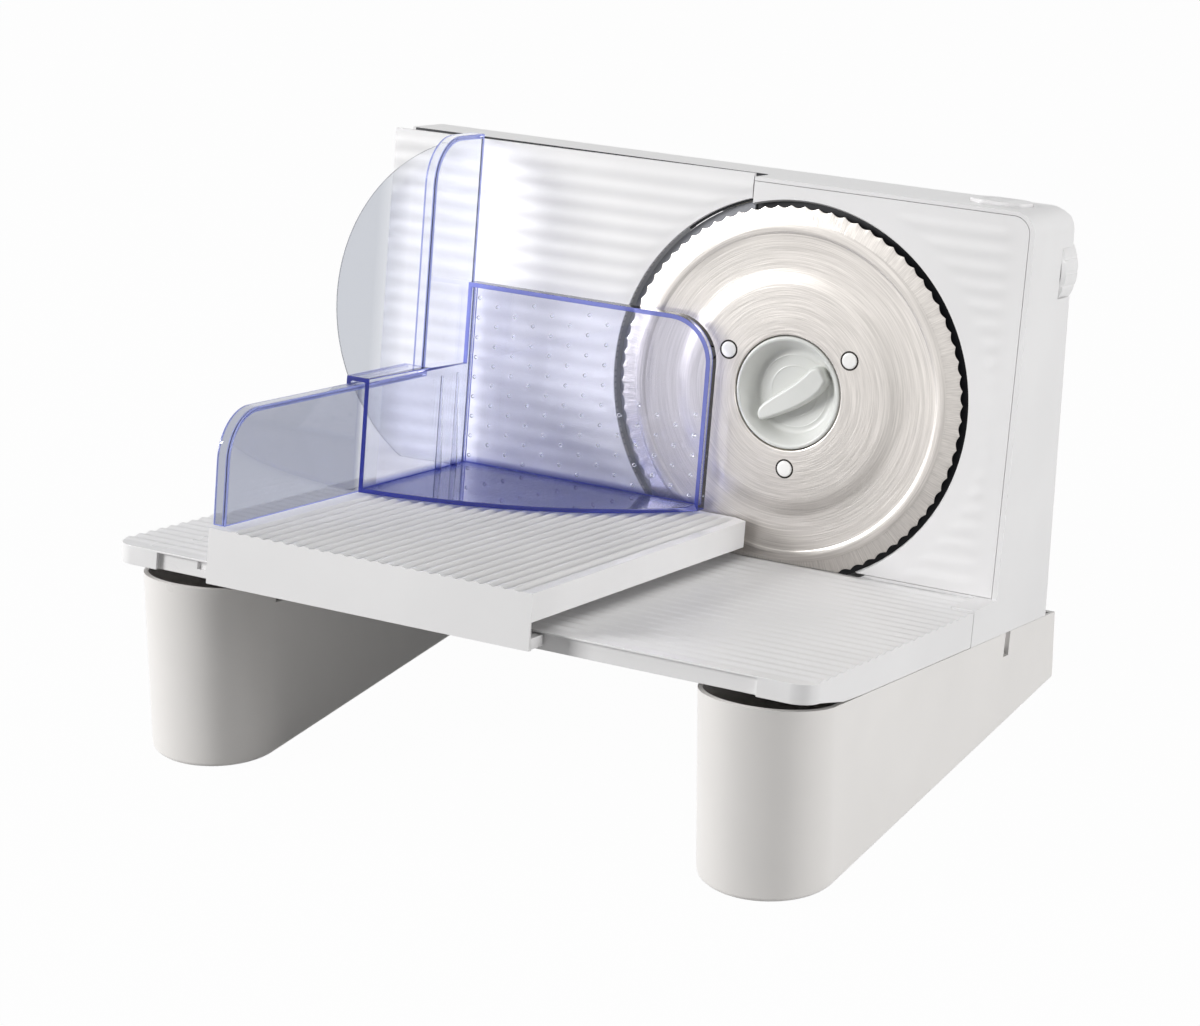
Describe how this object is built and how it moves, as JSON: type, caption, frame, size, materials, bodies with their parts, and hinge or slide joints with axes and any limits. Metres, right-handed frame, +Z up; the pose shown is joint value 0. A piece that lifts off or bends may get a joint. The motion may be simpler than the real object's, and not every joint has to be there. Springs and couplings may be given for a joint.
{
  "type": "food slicer",
  "caption": "Electric food slicer with a toothed blade in a leaning wall, a ribbed sliding carriage with a clear guard and pusher, a thickness plate set by a dial, and hollow legs.",
  "frame": {"origin": "on the worktop under the middle of the whole", "axes": "+X to the user's right along the carriage's travel, +Y to the rear, +Z up"},
  "size_m": [0.3936, 0.3208, 0.274],
  "materials": {
    "shell": "satin white plastic",
    "leg": "satin warm white plastic",
    "clear": "clear plastic with a blue tint",
    "steel": "brushed stainless steel",
    "zinc": "zinc-plated steel",
    "dark": "dark plastic",
    "nylon": "natural nylon",
    "bronze": "sintered bronze",
    "rubber": "black rubber"
  },
  "bodies": {
    "frame": {"right_leg": "leg", "right_front_foot": "rubber", "right_rear_foot": "rubber", "left_leg": "leg", "left_front_foot": "rubber", "left_rear_foot": "rubber", "stand_bridge": "leg", "table": "shell", "main_housing": "shell", "right_panel": "shell", "blade_well": "dark", "front_bush": "bronze", "rear_bush": "bronze", "gear_frame": "zinc", "motor_bush": "bronze", "motor_body": "zinc", "motor_cap": "dark", "left_guide_rod": "steel", "right_guide_rod": "steel", "micro_switch": "dark", "rear_cover": "shell", "cover_screw_1": "steel", "cover_screw_2": "steel", "cover_screw_3": "steel", "cover_screw_4": "steel", "cord_gland": "rubber"},
    "blade": {"blade_disc": "steel", "blade_hub": "nylon", "blade_rivet_1": "steel", "blade_rivet_2": "steel", "blade_rivet_3": "steel", "drive_spindle": "zinc", "worm_gear": "nylon"},
    "knob": {"lock_knob": "shell"},
    "motor_rotor": {"worm_shaft": "zinc"},
    "carriage": {"carriage": "shell", "carriage_guard": "clear"},
    "pusher": {"pusher": "clear"},
    "dial": {"thickness_dial": "shell", "dial_cam": "nylon"},
    "thickness": {"thickness_plate": "shell", "plate_carrier": "nylon"},
    "button": {"power_button": "shell"}
  },
  "joints": [
    {"name": "blade_spin", "type": "hinge", "parent": "frame", "child": "blade", "pos_m": [0.07172, 0.08201, 0.16], "axis": [0, 0.9857, -0.1685], "continuous": true},
    {"name": "knob_turn", "type": "hinge", "parent": "blade", "child": "knob", "pos_m": [0.07172, 0.08201, 0.16], "axis": [0, 0.9857, -0.1685], "range_deg": [0, 60]},
    {"name": "motor_spin", "type": "hinge", "parent": "frame", "child": "motor_rotor", "pos_m": [0.11172, 0.11848, 0.15377], "axis": [0, 0.1685, 0.9857], "continuous": true},
    {"name": "carriage_slide", "type": "slide", "parent": "frame", "child": "carriage", "axis": [1, 0, 0], "range_m": [-0.036, 0.108]},
    {"name": "pusher_slide", "type": "slide", "parent": "carriage", "child": "pusher", "axis": [0, 0.9857, -0.1685], "range_m": [-0.09, 0]},
    {"name": "dial_turn", "type": "hinge", "parent": "frame", "child": "dial", "pos_m": [0.16932, 0.14376, 0.22452], "axis": [0, 0.9857, -0.1685], "range_deg": [0, 270]},
    {"name": "thickness_slide", "type": "slide", "parent": "frame", "child": "thickness", "axis": [0, 0.9857, -0.1685], "range_m": [0, 0.015]},
    {"name": "button_press", "type": "slide", "parent": "frame", "child": "button", "axis": [0, -0.1685, -0.9857], "range_m": [0, 0.003], "stiffness_N_per_m": 600}
  ],
  "couplings": [
    {"joint": "motor_spin", "follows": "blade_spin", "ratio": 40},
    {"joint": "thickness_slide", "follows": "dial_turn", "m_per_rad": 0.003183}
  ]
}
